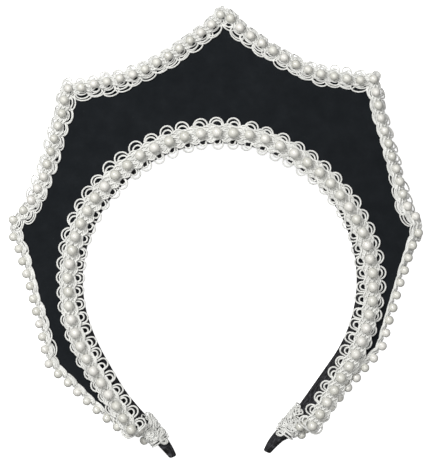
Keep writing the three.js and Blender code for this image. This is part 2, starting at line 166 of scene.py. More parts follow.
# Points of the outline from the left end over the top to the right end. along is a share of the panel's arc,
# reach of CROWN_REACH, row of a quarter turn round the fold and face of EDGE_WIDTH; dip and dip_at shape the
# stretch to the next point.
OUTLINE = [
    {"along": -1, "reach": 0.175, "row": -0.3, "face": 0.13, "dip": -0.08, "dip_at": 0.3},
    {"along": -0.727, "reach": 0.4, "row": -0.4, "face": 0.15, "dip": 0.055, "dip_at": 0.5},
    {"along": -0.478, "reach": 0.583, "row": 0.25, "face": 0.34, "dip": 0.12, "dip_at": 0.25},
    {"along": -0.249, "reach": 0.836, "row": 1.1, "face": 0.59, "dip": 0.165, "dip_at": 0.34},
    {"along": 0.004, "reach": 1, "row": 1, "face": 0.64, "dip": 0.2, "dip_at": 0.68},
    {"along": 0.237, "reach": 0.887, "row": 1.05, "face": 0.5, "dip": 0.075, "dip_at": 0.82},
    {"along": 0.472, "reach": 0.492, "row": 0.15, "face": 0.25, "dip": 0.02, "dip_at": 0.6},
    {"along": 0.722, "reach": 0.258, "row": -0.43, "face": 0.12, "dip": 0.03, "dip_at": 0.5},
    {"along": 1, "reach": 0.166, "row": -0.3, "face": 0.12, "dip": 0, "dip_at": 0.5},
]

# How many millimetres shorter the edge braid's inner loops are than its strip, at shares of the panel's arc.
EDGE_TRIM = [(-1, 2), (-0.76, 1.6), (-0.72, -0.2), (-0.66, 0.8), (-0.62, 2.6), (-0.5, 3), (-0.47, 0.8),
             (-0.42, 1.2), (-0.37, 1.6), (-0.3, 0.8), (-0.26, 0.4), (-0.24, 1), (-0.2, -0.6), (-0.15, 0.8),
             (-0.06, 0.9), (0.02, 1.5), (0.1, 1.2), (0.16, 0.2), (0.22, 0), (0.26, 1.2), (0.36, 2),
             (0.42, 2.1), (0.45, 0), (0.472, 0.6), (0.49, 3.2), (0.65, 3.4), (0.7, 2.2), (0.8, 1), (1, 0.6)]

CROWN_ARC = CROWN_RADIUS * CROWN_SWEEP
BAND_ARC = CROWN_ARC + ARM_LENGTH + TIP_LENGTH
PANEL_ARC = BAND_ARC - BARE_TIP - WRAP_LENGTH - GAP
FLARE_RADIUS = TIP_LENGTH / TIP_FLARE
SIDE_SPAN = CROWN_RADIUS + CROWN_REACH * SIDE_REACH
FOLD_INNER = (PANEL_THICKNESS / 2 + GAP) / math.cos(math.pi / 8)
FOLD_MIDDLE = FOLD_INNER + EDGE_THICKNESS / 2
FOLD_QUARTER = FOLD_MIDDLE * math.pi / 2

# The centre of the headband's arc, from the headband's own box.
band_low, band_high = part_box("headband")
CENTRE = Vector(((band_low.x + band_high.x) / 2, band_high.y - CROWN_RADIUS - BAND_THICKNESS))

# How many steps each stretch of the outline, the whole edge and the brow row are taken in.
STRETCH_STEPS = 40
EDGE_STEPS = 1080
BROW_STEPS = 300

# How far one wave of the wave texture reaches at scale 1, along an axis and on the diagonal.
AXIS_WAVE = 0.314
DIAGONAL_WAVE = 0.628

# The photograph's frame is 430 by 464 pixels at 0.45 mm each, and its longer side fills the sensor. The
# camera looks straight down, from its distance over the height of the face.
FRAME_HEIGHT = 464 * 0.45 * MM
FACE_HEIGHT = 16 * MM
CAMERA_DISTANCE = 0.9
CAMERA_PLACE = Vector((0, 1.6 * MM))


def lerp(a, b, share):
    return a + (b - a) * share


def clamp(value, low, high):
    return max(low, min(high, value))


def smoothstep(value, low, high):
    share = clamp((value - low) / (high - low), 0, 1)
    return share * share * (3 - 2 * share)


def swell(value, middle, width):
    """A smooth rise to 1 at a middle value, fading on both sides over a width."""
    return math.exp(-((value - middle) / width) ** 2)


def strayed(value, strays):
    """How far the sewing strays at a value, from rows of middle, width and distance."""
    return sum(distance * swell(value, middle, width) for middle, width, distance in strays)


# Camera, lights and floor


def add_camera():
    bpy.ops.object.camera_add(location=(CAMERA_PLACE.x, CAMERA_PLACE.y, FACE_HEIGHT + CAMERA_DISTANCE))
    camera = bpy.context.object
    camera.data.lens = camera.data.sensor_width * CAMERA_DISTANCE / FRAME_HEIGHT
    bpy.context.scene.camera = camera


def add_softbox(name, place, size, power):
    bpy.ops.object.light_add(type="AREA", location=place)
    light = bpy.context.object
    light.name = name
    light.data.shape = "DISK"
    light.data.size = size
    light.data.energy = power
    light.rotation_euler = (-Vector(place)).to_track_quat("-Z", "Y").to_euler()


def add_studio(table):
    add_softbox("key_softbox", (-0.48, 0.48, 0.88), 0.28, 9.4)
    add_softbox("top_softbox", (0.1, 0, 1.6), 1.8, 16.5)
    world = bpy.data.worlds.new("studio")
    bpy.context.scene.world = world
    world.use_nodes = True
    background = world.node_tree.nodes["Background"]
    background.inputs["Color"].default_value = (1, 1, 1, 1)
    background.inputs["Strength"].default_value = 0.18
    bpy.context.scene.view_settings.view_transform = "Standard"
    bpy.ops.mesh.primitive_plane_add(size=3)
    floor = bpy.context.object
    floor.name = "studio_floor"
    floor.data.materials.append(table)
    # The table's own light stays off the hood, as it does when the white is lit by itself.
    floor.visible_diffuse = False
    floor.visible_glossy = False
    bpy.ops.object.select_all(action="DESELECT")


# Materials


def linear(hex_value):
    """An sRGB hex value as the linear colour that a shader takes."""
    channels = [int(hex_value[i:i + 2], 16) / 255 for i in (1, 3, 5)]
    return (*[c / 12.92 if c <= 0.04045 else ((c + 0.055) / 1.055) ** 2.4 for c in channels], 1)


def add_node(tree, kind, links, **settings):
    """Adds a node with its settings; each input is linked to a socket or set to a value."""
    added = tree.nodes.new(kind)
    for key, value in settings.items():
        setattr(added, key, value)
    for key, value in links.items():
        if isinstance(value, bpy.types.NodeSocket):
            tree.links.new(value, added.inputs[key])
        else:
            added.inputs[key].default_value = value
    return added


def new_material(name, sockets):
    material = bpy.data.materials.new(name)
    material.use_nodes = True
    shader = material.node_tree.nodes["Principled BSDF"]
    for key, value in sockets.items():
        shader.inputs[key].default_value = value
    return material, material.node_tree, shader


def tint(tree, shader, factor, stops):
    """Colours the shader through a ramp; each stop is a position and an sRGB hex value."""
    elements = add_node(tree, "ShaderNodeValToRGB", {"Fac": factor}).color_ramp.elements
    while len(elements) < len(stops):
        elements.new(0.5)
    for element, (position, colour) in zip(elements, stops):
        element.position = position
        element.color = linear(colour)
    tree.links.new(tree.nodes[-1].outputs["Color"], shader.inputs["Base Color"])


def cotton_cloth():
    # Plain-woven cotton laid over stiff board: blue-black and matt, so that its weave only just shows.
    material, tree, shader = new_material("black_plain_weave_cotton", {
        "Roughness": 0.95, "Specular IOR Level": 0.12, "Sheen Weight": 0.02, "Sheen Roughness": 0.5})
    # Its threads are 0.3 mm apart, drawn at 0.6 mm, because finer ones would not show.
    place = add_node(tree, "ShaderNodeTexCoord", {}).outputs["Object"]
    weft, warp = [add_node(tree, "ShaderNodeTexWave", {
        "Vector": place, "Scale": AXIS_WAVE / (0.6 * MM), "Distortion": 0.5, "Detail": 1.5},
        bands_direction=direction) for direction in ("X", "Y")]
    weave = add_node(tree, "ShaderNodeMath", {
        0: weft.outputs["Fac"], 1: warp.outputs["Fac"]}, operation="MULTIPLY")
    slub = add_node(tree, "ShaderNodeTexNoise", {
        "Vector": place, "Scale": 140, "Detail": 4, "Roughness": 0.6})
    tint(tree, shader, slub.outputs["Fac"], [(0.3, "#121518"), (0.55, "#16191c"), (0.8, "#1b1e21")])
    fine = add_node(tree, "ShaderNodeBump", {
        "Height": weave.outputs[0], "Strength": 0.4, "Distance": 0.12 * MM})
    coarse = add_node(tree, "ShaderNodeBump", {
        "Height": slub.outputs["Fac"], "Strength": 0.4, "Distance": 0.3 * MM,
        "Normal": fine.outputs["Normal"]})
    tree.links.new(coarse.outputs["Normal"], shader.inputs["Normal"])
    return material


def grosgrain_ribbon():
    # Woven grosgrain round the headband: charcoal, with fine ribs across it that catch a faint sheen.
    material, tree, shader = new_material("charcoal_grosgrain_ribbon", {
        "Roughness": 0.75, "Specular IOR Level": 0.25, "Sheen Weight": 0.05, "Sheen Roughness": 0.4})
    # The map runs once along the headband, which is twice BAND_ARC long, and a rib comes every 0.8 mm.
    strip = add_node(tree, "ShaderNodeUVMap", {}).outputs["UV"]
    length = add_node(tree, "ShaderNodeMapping", {"Vector": strip, "Scale": (2 * BAND_ARC, BAND_WIDTH, 1)})
    ribs = add_node(tree, "ShaderNodeTexWave", {
        "Vector": length.outputs["Vector"], "Scale": AXIS_WAVE / (0.8 * MM),
        "Distortion": 0.4, "Detail": 1.5}, bands_direction="X")
    # The yarn's own mottling is drawn out along the ribbon.
    drawn_out = add_node(tree, "ShaderNodeMapping", {
        "Vector": length.outputs["Vector"], "Scale": (0.35, 1, 1)})
    grain = add_node(tree, "ShaderNodeTexNoise", {
        "Vector": drawn_out.outputs["Vector"], "Scale": 1000, "Detail": 2, "Roughness": 0.75})
    tint(tree, shader, grain.outputs["Fac"], [(0.4, "#030304"), (0.5, "#18181a"), (0.6, "#434348")])
    rib = add_node(tree, "ShaderNodeBump", {
        "Height": ribs.outputs["Fac"], "Strength": 0.6, "Distance": 0.16 * MM})
    rough = add_node(tree, "ShaderNodeBump", {
        "Height": grain.outputs["Fac"], "Strength": 0.35, "Distance": 0.12 * MM,
        "Normal": rib.outputs["Normal"]})
    tree.links.new(rough.outputs["Normal"], shader.inputs["Normal"])
    return material


def gimp_cord():
    # Rayon thread wrapped round a core: off-white and slightly silky, with the wrap slanting round it.
    material, tree, shader = new_material("wrapped_rayon_gimp", {
        "Roughness": 0.5, "Specular IOR Level": 0.4, "Sheen Weight": 0.2, "Sheen Roughness": 0.35})
    # The map runs along each cord in metres and once round it. The wrap's 0.2 mm thread is drawn at 0.6 mm.
    cord_map = add_node(tree, "ShaderNodeUVMap", {}).outputs["UV"]
    slant = add_node(tree, "ShaderNodeMapping", {
        "Vector": cord_map, "Scale": (DIAGONAL_WAVE / (0.6 * MM), DIAGONAL_WAVE, 1)})
    thread = add_node(tree, "ShaderNodeTexWave", {
        "Vector": slant.outputs["Vector"], "Scale": 1, "Distortion": 0.2}, bands_direction="DIAGONAL")
    place = add_node(tree, "ShaderNodeTexCoord", {}).outputs["Object"]
    tone = add_node(tree, "ShaderNodeTexNoise", {"Vector": place, "Scale": 300, "Detail": 2})
    tint(tree, shader, tone.outputs["Fac"], [(0.3, "#d1d1cd"), (0.5, "#dbdbd7"), (0.75, "#e5e5e1")])
    twist = add_node(tree, "ShaderNodeBump", {
        "Height": thread.outputs["Fac"], "Strength": 0.7, "Distance": 0.12 * MM})
    tree.links.new(twist.outputs["Normal"], shader.inputs["Normal"])
    return material


def pearl_lacquer():
    # Moulded beads dipped in pearl lacquer: ivory grey, clouded, each with one small bright highlight.
    material, tree, shader = new_material("pearl_lacquer_on_moulded_bead", {
        "Roughness": 0.5, "Coat Weight": 1, "Coat Roughness": 0.04, "Coat IOR": 1.65})
    # Every bead has its own tone, because no two take the lacquer alike.
    tone = add_node(tree, "ShaderNodeAttribute", {}, attribute_name="bead_tone")
    tint(tree, shader, tone.outputs["Fac"], [(0, "#c8c7be"), (0.5, "#d1d0c8"), (1, "#dad8d2")])
    place = add_node(tree, "ShaderNodeTexCoord", {}).outputs["Object"]
    cloud = add_node(tree, "ShaderNodeTexNoise", {"Vector": place, "Scale": 700, "Detail": 2})
    bump = add_node(tree, "ShaderNodeBump", {
        "Height": cloud.outputs["Fac"], "Strength": 0.15, "Distance": 0.1 * MM})
    tree.links.new(bump.outputs["Normal"], shader.inputs["Normal"])
    return material


def lit_acrylic():
    # A product photographer's table of opal acrylic lit from below, which keeps shadows off the white.
    material, tree, shader = new_material("opal_acrylic_lit_from_below", {
        "Roughness": 0.9, "Specular IOR Level": 0.1,
        "Emission Color": (1, 1, 1, 1), "Emission Strength": 0.7})
    place = add_node(tree, "ShaderNodeTexCoord", {}).outputs["Object"]
    haze = add_node(tree, "ShaderNodeTexNoise", {"Vector": place, "Scale": 300, "Detail": 3})
    tint(tree, shader, haze.outputs["Fac"], [(0.2, "#fbfbfa"), (0.8, "#ffffff")])
    return material


# Lines of the hood


def band_frame(arc):
    """The point on the headband's inner face at an arc length from the top, and the direction outwards."""
    side = -1 if arc < 0 else 1
    length = abs(arc)
    if side > 0:
        # The right end is pulled up a little.
        length -= RIGHT_PULL * smoothstep(length, 0.62 * BAND_ARC, 0.88 * BAND_ARC)
    turned = min(length, CROWN_ARC) / CROWN_RADIUS
    straight = clamp(length - CROWN_ARC, 0, ARM_LENGTH)
    heading = turned - max(length - CROWN_ARC - ARM_LENGTH, 0) / FLARE_RADIUS
    x = (CROWN_RADIUS * math.sin(turned) + straight * math.cos(turned)
         + FLARE_RADIUS * (math.sin(turned) - math.sin(heading)))
    y = (CROWN_RADIUS * math.cos(turned) - straight * math.sin(turned)
         + FLARE_RADIUS * (math.cos(turned) - math.cos(heading)))
    outward = Vector((side * math.sin(heading), math.cos(heading)))
    # Both ends are bent in a little, the right one more.
    bend = (RIGHT_BEND if side > 0 else LEFT_BEND) * smoothstep(length, PANEL_ARC - 8 * MM, BAND_ARC - 6 * MM)
    return CENTRE + Vector((side * x, y)) - outward * bend, outward


def beside(arc, distance):
    point, outward = band_frame(arc)
    return point + outward * distance


def panel_back(point):
    """Height of the panel's back over the floor."""
    x, y = point.x - CENTRE.x, point.y - CENTRE.y
    return BAND_WIDTH + GAP + math.tan(LEAN) * (y - CROWN_RADIUS) - WING_SWEEP * (x / SIDE_SPAN) ** 2


def twist_at(arc):
    return TIP_TWIST * smoothstep(abs(arc), TWIST_START * PANEL_ARC, PANEL_ARC)


def section_height(twist, across, along):
    return (BAND_THICKNESS - across) * math.sin(twist) + along * math.cos(twist)


def rise_at(arc):
    """The arms rise towards their ends, so that the braid wound round them rests on the floor."""
    grown = GAP + WRAP_THICKNESS
    cut = BAND_CHAMFER + grown * (2 - math.sqrt(2))
    thick = BAND_THICKNESS + grown
    drop = min(section_height(TIP_TWIST, thick, cut - grown), section_height(TIP_TWIST, thick - cut, -grown))
    return -drop * smoothstep(abs(arc), TWIST_START * PANEL_ARC, PANEL_ARC)


def band_width(arc):
    """The headband is as wide as it must be to carry the panel, and narrows at the tips."""
    carried = clamp(arc, -PANEL_ARC, PANEL_ARC)
    twist = twist_at(carried)
    width = BAND_WIDTH
    for _ in range(4):
        top = panel_back(beside(carried, width * math.sin(twist))) - GAP - rise_at(carried)
        width = (top - BAND_THICKNESS * math.sin(twist)) / math.cos(twist)
    past = clamp((abs(arc) - BAND_ARC + BARE_TIP) / BARE_TIP, 0, 1)
    return lerp(width, TIP_WIDTH, past ** 2)


def inner_reach(arc):
    """How far the panel's inner edge lies out from the headband's inner face."""
    return PANEL_INSET + band_width(arc) * math.sin(twist_at(arc))


def band_place(arc, across, along):
    """A point of the headband's section: across its thickness from the inner face, and up its width."""
    twist = twist_at(arc)
    flat = beside(arc, along * math.sin(twist) + across * math.cos(twist) + strayed(arc, BAND_STRAYS))
    return Vector((flat.x, flat.y, section_height(twist, across, along) + rise_at(arc)))


class Line:
    """A flat or solid line through close points, read at a length along it."""

    def __init__(self, points):
        self.points = points
        self.lengths = [0.0]
        for a, b in zip(points, points[1:]):
            self.lengths.append(self.lengths[-1] + (b - a).length)
        self.length = self.lengths[-1]

    def at(self, length):
        length = clamp(length, 0, self.length)
        low, high = 0, len(self.lengths) - 1
        while high - low > 1:
            middle = (low + high) // 2
            if self.lengths[middle] <= length:
                low = middle
            else:
                high = middle
        span = self.lengths[high] - self.lengths[low]
        return self.points[low].lerp(self.points[high], (length - self.lengths[low]) / span)

    def along(self, length, reach):
        """The line's direction, taken over a reach on each side."""
        return (self.at(length + reach) - self.at(length - reach)).normalized()


def outline_point(index, share):
    """A point of one stretch of the outline, in the same curve as the CAD part's."""
    row, following = OUTLINE[index], OUTLINE[index + 1]
    start = beside(row["along"] * PANEL_ARC, row["reach"] * CROWN_REACH)
    end = beside(following["along"] * PANEL_ARC, following["reach"] * CROWN_REACH)
    chord = end - start
    control = start + chord * row["dip_at"] + Vector((chord.y, -chord.x)) * row["dip"]
    return start * (1 - share) ** 2 + control * (2 * share * (1 - share)) + end * share ** 2


STRETCHES = [Line([outline_point(i, step / STRETCH_STEPS) for step in range(STRETCH_STEPS + 1)])
             for i in range(len(OUTLINE) - 1)]
EDGE_LENGTH = sum(stretch.length for stretch in STRETCHES)


def edge_value(key, length):
    """A column of the outline's table at a length along the whole outer edge."""
    for i, stretch in enumerate(STRETCHES):
        if length <= stretch.length or i == len(STRETCHES) - 1:
            return lerp(OUTLINE[i][key], OUTLINE[i + 1][key], clamp(length / stretch.length, 0, 1))
        length -= stretch.length


def edge_trim(along):
    for (start, trim), (end, following) in zip(EDGE_TRIM, EDGE_TRIM[1:]):
        if along <= end:
            return lerp(trim, following, (along - start) / (end - start)) * MM
    return 0


def edge_shift(length):
    """How much further out the edge braid sits: bunched round the outline's points, and where it strays."""
    # Round the lowest point on the left it is bunched less and a little before, and on the right not at all.
    corner = STRETCHES[0].length
    bunch = LOW_BUNCH_SHARE * swell(length, corner - LOW_BUNCH_SHIFT, BUNCH_WIDTH)
    for stretch in STRETCHES[1:-2]:
        corner += stretch.length
        bunch += swell(length, corner, BUNCH_WIDTH)
    along = edge_value("along", length)
    # On the left arm it is sewn a little further in.
    inset = LEFT_INSET * smoothstep(-along, 0.62, 0.72)
    return CORNER_BUNCH * bunch + strayed(along, EDGE_STRAYS) - inset


def soften(points, reach):
    """The mean of each point and its neighbours, which rounds the corners; the ends stay."""
    soft = []
    for i in range(len(points)):
        near = min(reach, i, len(points) - 1 - i)
        soft.append(sum(points[i - near:i + near + 1], Vector((0, 0))) / (2 * near + 1))
    return soft


def brow_reach(arc):
    """How far the row of larger pearls lies out from the headband's inner face."""
    return inner_reach(arc) + BROW_INSET + strayed(arc, BROW_STRAYS_LEFT if arc < 0 else BROW_STRAYS_RIGHT)


edge_points = [point for stretch in STRETCHES for point in stretch.points[:-1]] + [STRETCHES[-1].points[-1]]
edge_whole = Line(edge_points)
EDGE_LINE = Line(soften([edge_whole.at(EDGE_LENGTH * i / EDGE_STEPS) for i in range(EDGE_STEPS + 1)], 4))
brow_arcs = [lerp(-PANEL_ARC, PANEL_ARC, i / BROW_STEPS) for i in range(BROW_STEPS + 1)]
BROW_LINE = Line([beside(arc, brow_reach(arc)) for arc in brow_arcs])


# Modelling


def apply_modifier(piece, kind, **settings):
    bpy.context.view_layer.objects.active = piece
    modifier = piece.modifiers.new(kind.lower(), kind)
    for key, value in settings.items():
        setattr(modifier, key, value)
    bpy.ops.object.modifier_apply(modifier=modifier.name)


def hand_over(piece, name, material, slot, *nodes):
    """Names a finished piece, gives it its material and sets it on the hood in place of the solids."""
    piece.name = name
    piece.data.name = name
    piece.data.materials.append(material)
    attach(piece, "root")
    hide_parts(*nodes)
    bpy.ops.object.select_all(action="DESELECT")


class Trimming:
    """Gathers many cords or beads into one piece, with a map for each corner and a tone for each point."""

    def __init__(self):
        self.points = []
        self.faces = []
        self.maps = []
        self.tones = []

    def add(self, points, faces, maps, tone=0.5):
        first = len(self.points)
        self.points += points
        self.faces += [[first + corner for corner in face] for face in faces]
        self.maps += maps
        self.tones += [tone] * len(points)

    def add_cord(self, route, radius, closed=False, sides=6):
        """A round cord along a route of points; radius may be a list, with one for each point."""
        count = len(route)
        radii = radius if isinstance(radius, list) else [radius] * count
        travelled = [0.0]
        for a, b in zip(route, route[1:] + route[:1]):
            travelled.append(travelled[-1] + (b - a).length)
        points = []
        for i, middle in enumerate(route):
            before = route[i - 1] if closed or i else middle
            after = route[(i + 1) % count] if closed or i < count - 1 else middle
            ahead = (after - before).normalized()
            level = Vector((0, 0, 1)).cross(ahead).normalized()
            upward = ahead.cross(level)
            for k in range(sides):
                angle = 2 * math.pi * k / sides
                points.append(middle + (level * math.cos(angle) + upward * math.sin(angle)) * radii[i])
        faces, maps = [], []
        for i in range(count if closed else count - 1):
            j = (i + 1) % count
            for k in range(sides):
                n = (k + 1) % sides
                faces.append([i * sides + k, i * sides + n, j * sides + n, j * sides + k])
                near, far = travelled[i], travelled[i + 1]
                low, high = k / sides, (k + 1) / sides
                maps.append([(near, low), (near, high), (far, high), (far, low)])
        if not closed:
            faces.append(list(range(sides))[::-1])
            faces.append([(count - 1) * sides + k for k in range(sides)])
            maps += [[(0.0, 0.0)] * sides] * 2
        self.add(points, faces, maps)

    def make(self):
        mesh = bpy.data.meshes.new("trimming")
        mesh.from_pydata(self.points, [], self.faces)
        cord_map = mesh.uv_layers.new(name="cord_map")
        cord_map.data.foreach_set("uv", [value for face in self.maps for corner in face for value in corner])
        mesh.attributes.new("bead_tone", "FLOAT", "POINT").data.foreach_set("value", self.tones)
        mesh.shade_smooth()
        piece = bpy.data.objects.new("trimming", mesh)
        bpy.context.collection.objects.link(piece)
        return piece


def model_bead():
    """One pearl of radius 1, modelled by hand, with its drilled hole along X."""
    bpy.ops.mesh.primitive_uv_sphere_add(segments=16, ring_count=10, radius=1, rotation=(0, math.pi / 2, 0))
    bead = bpy.context.object
    bpy.ops.object.transform_apply(location=False, rotation=True, scale=False)
    for end in (-1, 1):
        for vertex in bead.data.vertices:
            vertex.select = False
        for edge in bead.data.edges:
            edge.select = False
        for face in bead.data.polygons:
            face.select = face.center.x * end > 0.95
        bpy.ops.object.mode_set(mode="EDIT")
        bpy.ops.mesh.select_mode(type="FACE")
        bpy.ops.mesh.inset(thickness=0.1)
        bpy.ops.transform.translate(value=(-0.4 * end, 0, 0))
        bpy.ops.object.mode_set(mode="OBJECT")
    # The inset numbers its points differently from run to run, so both lists are put in a fixed order.
    ordered = sorted(bead.data.vertices, key=lambda vertex: [round(value, 5) for value in vertex.co])
    points = [vertex.co.copy() for vertex in ordered]
    rank = {vertex.index: i for i, vertex in enumerate(ordered)}
    faces = []
    for face in bead.data.polygons:
        corners = [rank[index] for index in face.vertices]
        first = corners.index(min(corners))
        faces.append(corners[first:] + corners[:first])
    faces.sort()
    bpy.data.objects.remove(bead)
    bpy.ops.object.select_all(action="DESELECT")
    return points, faces


def add_bead(beads, bead, radius, centre, ahead, tone):
    """A copy of the bead in a row of them, its hole along the row."""
    points, faces = bead
    upward = Vector((0, 0, 1))
    level = upward.cross(ahead).normalized()
    upward = ahead.cross(level)
    placed = [centre + (ahead * p.x + level * p.y + upward * p.z) * radius for p in points]
    beads.add(placed, faces, [[(0.0, 0.0)] * len(face) for face in faces], tone)


# Headband and panel


def ribbon_width(arc):
    """The ribbon is drawn in under the winding and tapers evenly from there."""
    start = BAND_ARC - BARE_TIP
    length = abs(arc)
    drawn_in = RIBBON_DRAWN_IN * smoothstep(length, start - 5 * MM, start)
    width = band_width(math.copysign(min(length, start), arc)) - drawn_in
    return lerp(width, TIP_WIDTH, clamp((length - start) / BARE_TIP, 0, 1) ** 1.2)


def make_headband(material):
    """A flat ribbon-covered strip with rounded edges, then bent along the headband's line."""
    bpy.ops.mesh.primitive_grid_add(x_subdivisions=220, y_subdivisions=4, size=1)
    band = bpy.context.object
    for vertex in band.data.vertices:
        vertex.co.x *= 2 * BAND_ARC
        vertex.co.y *= BAND_WIDTH
    apply_modifier(band, "SOLIDIFY", thickness=BAND_THICKNESS, offset=0)
    apply_modifier(band, "BEVEL", width=0.8 * MM, segments=3, limit_method="ANGLE")
    margin = 1 * MM
    for vertex in band.data.vertices:
        arc = clamp(vertex.co.x, -BAND_ARC, BAND_ARC)
        # The ribbon's upper edge is glued to the panel's back, and the left arm's ribbon is drawn narrower.
        width = ribbon_width(arc) + GAP * (1 - smoothstep(abs(arc), PANEL_ARC - 1 * MM, PANEL_ARC))
        narrow = strayed(arc, RIBBON_NARROWS)
        along = vertex.co.y + BAND_WIDTH / 2
        share = clamp((along - margin) / (BAND_WIDTH - 2 * margin), 0, 1)
        inside = min(along, margin) + max(along - BAND_WIDTH + margin, 0)
        along = narrow + inside + (width - narrow - 2 * margin) * share
        # On a bent ribbon the outer face lies at the same distance from the inner all the way.
        vertex.co = band_place(arc, BAND_THICKNESS / 2 - vertex.co.z, along)
    band.data.shade_smooth()
    hand_over(band, "headband_ribbon", material, "band_cloth", "headband")


def make_panel(material):
    """A flat grid drawn out to the crescent's outline, then given its board's thickness."""
    per_stretch = 20
    columns = per_stretch * len(STRETCHES)
    bpy.ops.mesh.primitive_grid_add(x_subdivisions=columns, y_subdivisions=14, size=1)
    panel = bpy.context.object
    for vertex in panel.data.vertices:
        column = round((vertex.co.x + 0.5) * columns)
        index = min(column // per_stretch, len(STRETCHES) - 1)
        share = column / per_stretch - index
        outer = STRETCHES[index].at(share * STRETCHES[index].length)
        arc = lerp(OUTLINE[index]["along"], OUTLINE[index + 1]["along"], share) * PANEL_ARC
        across = vertex.co.y + 0.5
        place = beside(arc, inner_reach(arc) + strayed(arc, BAND_STRAYS)).lerp(outer, across)
        # Cloth pulled over board is never quite flat.
        ripple = noise.noise(Vector((place.x, place.y, 0)) / RIPPLE_LENGTH) * math.sin(math.pi * across)
        height = panel_back(place) + PANEL_THICKNESS / 2 + RIPPLE_DEPTH * ripple
        vertex.co = (place.x, place.y, height)
    apply_modifier(panel, "SOLIDIFY", thickness=PANEL_THICKNESS, offset=0)
    apply_modifier(panel, "BEVEL", width=0.8 * MM, segments=3, limit_method="ANGLE")
    panel.data.shade_smooth()
    hand_over(panel, "crescent_cloth", material, "panel_cloth", "crown_panel")


# Braids


def brow_floor(place, length):
    """Height of the face under the brow braid, which climbs over the edge braid on the arms."""
    along = abs(2 * length / BROW_LINE.length - 1)
    return panel_back(place) + PANEL_THICKNESS + BROW_LIFT * smoothstep(along, BROW_LIFT_START, BROW_LIFT_END)


def brow_place(middle, ahead_by, outwards, height):
    """A point of the brow braid, measured from the middle of one loop of it."""
    ahead = BROW_LINE.along(middle, 2 * MM)
    place = BROW_LINE.at(middle) + ahead * ahead_by + Vector((-ahead.y, ahead.x)) * outwards
    return Vector((place.x, place.y, brow_floor(place, middle + ahead_by) + height))


def fold_place(around, height):
    """Where a distance round the fold lies: outwards from the panel's edge and up from its middle."""
    turned = clamp(around / FOLD_MIDDLE, -math.pi / 2, math.pi / 2)
    flap = max(abs(around) - FOLD_QUARTER, 0)
    radius = PANEL_THICKNESS / 2 + height
    normal = Vector((math.cos(turned), math.sin(turned)))
    return normal * radius - Vector((flap + PANEL_THICKNESS / 2, 0)), normal


def edge_row(middle):
    """Where the pearls sit round the fold, as a share of a quarter turn up from the panel's edge."""
    return max(edge_value("row", middle), 0.22)


def edge_flare(middle):
    """How far the outer loops stand off instead of bending down: by both upper points, and on the right."""
    along = edge_value("along", middle)
    right = smoothstep(along, *RIGHT_FLARE_START) * (1 - smoothstep(along, *RIGHT_FLARE_END))
    return max(RIGHT_FLARE * right, *[swell(along, place, width) for place, width in EDGE_FLARES])


def edge_place(middle, ahead_by, outwards, height):
    """A point of the edge braid: inwards it lies on the fold, and outwards its loops bend more loosely."""
    row = edge_row(middle)
    reach, _ = fold_place(row * FOLD_QUARTER - outwards, height)
    if outwards > 0:
        start, normal = fold_place(row * FOLD_QUARTER, height)
        radius = lerp(LOOSE_FOLD, TIGHT_FOLD, smoothstep(row, 0.3, 1))
        turn = outwards / radius
        loose = Vector((normal.x * math.cos(turn) + normal.y * math.sin(turn),
                        normal.y * math.cos(turn) - normal.x * math.sin(turn)))
        reach = reach.lerp(start + (loose - normal) * radius, smoothstep(row, -0.1, 0.4))
        reach = reach.lerp(start + Vector((0.95, -0.3)) * outwards, edge_flare(middle))
    scale = EDGE_LINE.length / EDGE_LENGTH
    ahead = EDGE_LINE.along(middle * scale, 3 * MM)
    out = reach.x + edge_shift(middle)
    place = EDGE_LINE.at(middle * scale) + ahead * ahead_by + Vector((-ahead.y, ahead.x)) * out
    return Vector((place.x, place.y, panel_back(place) + PANEL_THICKNESS / 2 + reach.y))


def edge_room(length):
    """How far the braid may reach outwards and round the back before it meets the headband."""
    arc = edge_value("along", length) * PANEL_ARC
    twist = twist_at(arc)
    carried = band_width(arc) * math.sin(twist) + BAND_THICKNESS * math.cos(twist)
    room = (EDGE_LINE.at(length) - beside(arc, carried)).length - PANEL_THICKNESS / 2
    return edge_value("row", length) * FOLD_QUARTER + FOLD_QUARTER + max(room, 0)


def half_loop(row_width, end_width, reach, blunt):
    """One side of a loop of cord: two legs from the row and a round end, as (along, across) points."""
    depth = end_width * blunt
    leg = max(reach - depth, 0.2 * MM)
    legs = [(lerp(row_width, end_width, smoothstep(share, 0, 1)), leg * share) for share in (0, 0.35, 0.7)]
    turns = [math.pi * step / 8 for step in range(9)]
    end = [(end_width * math.cos(turn), leg + depth * math.sin(turn)) for turn in turns]
    return legs + end + [(-along, across) for along, across in legs[:0:-1]]


def loop_route(place, middle, loop, lean, cord):
    """One closed loop of cord round a pearl: its right side runs under and its left side over the next."""
    flat = half_loop(loop["row"], loop["outer_width"], loop["outer"], 1)
    flat += [(-along, -across) for along, across in
             half_loop(loop["row"], loop["inner_width"], loop["inner"], loop["inner_blunt"])]
    route = []
    for along, across in flat:
        crossing = 0.5 - 0.5 * along / max(loop["row"], loop["outer_width"], loop["inner_width"])
        rise = across / (loop["outer"] if across > 0 else loop["inner"])
        height = cord * (1 + 1.3 * crossing * (1 - rise * rise) + 0.3 * abs(rise) + loop["lift"])
        route.append(place(middle, along + lean * across, across, height))
    return route


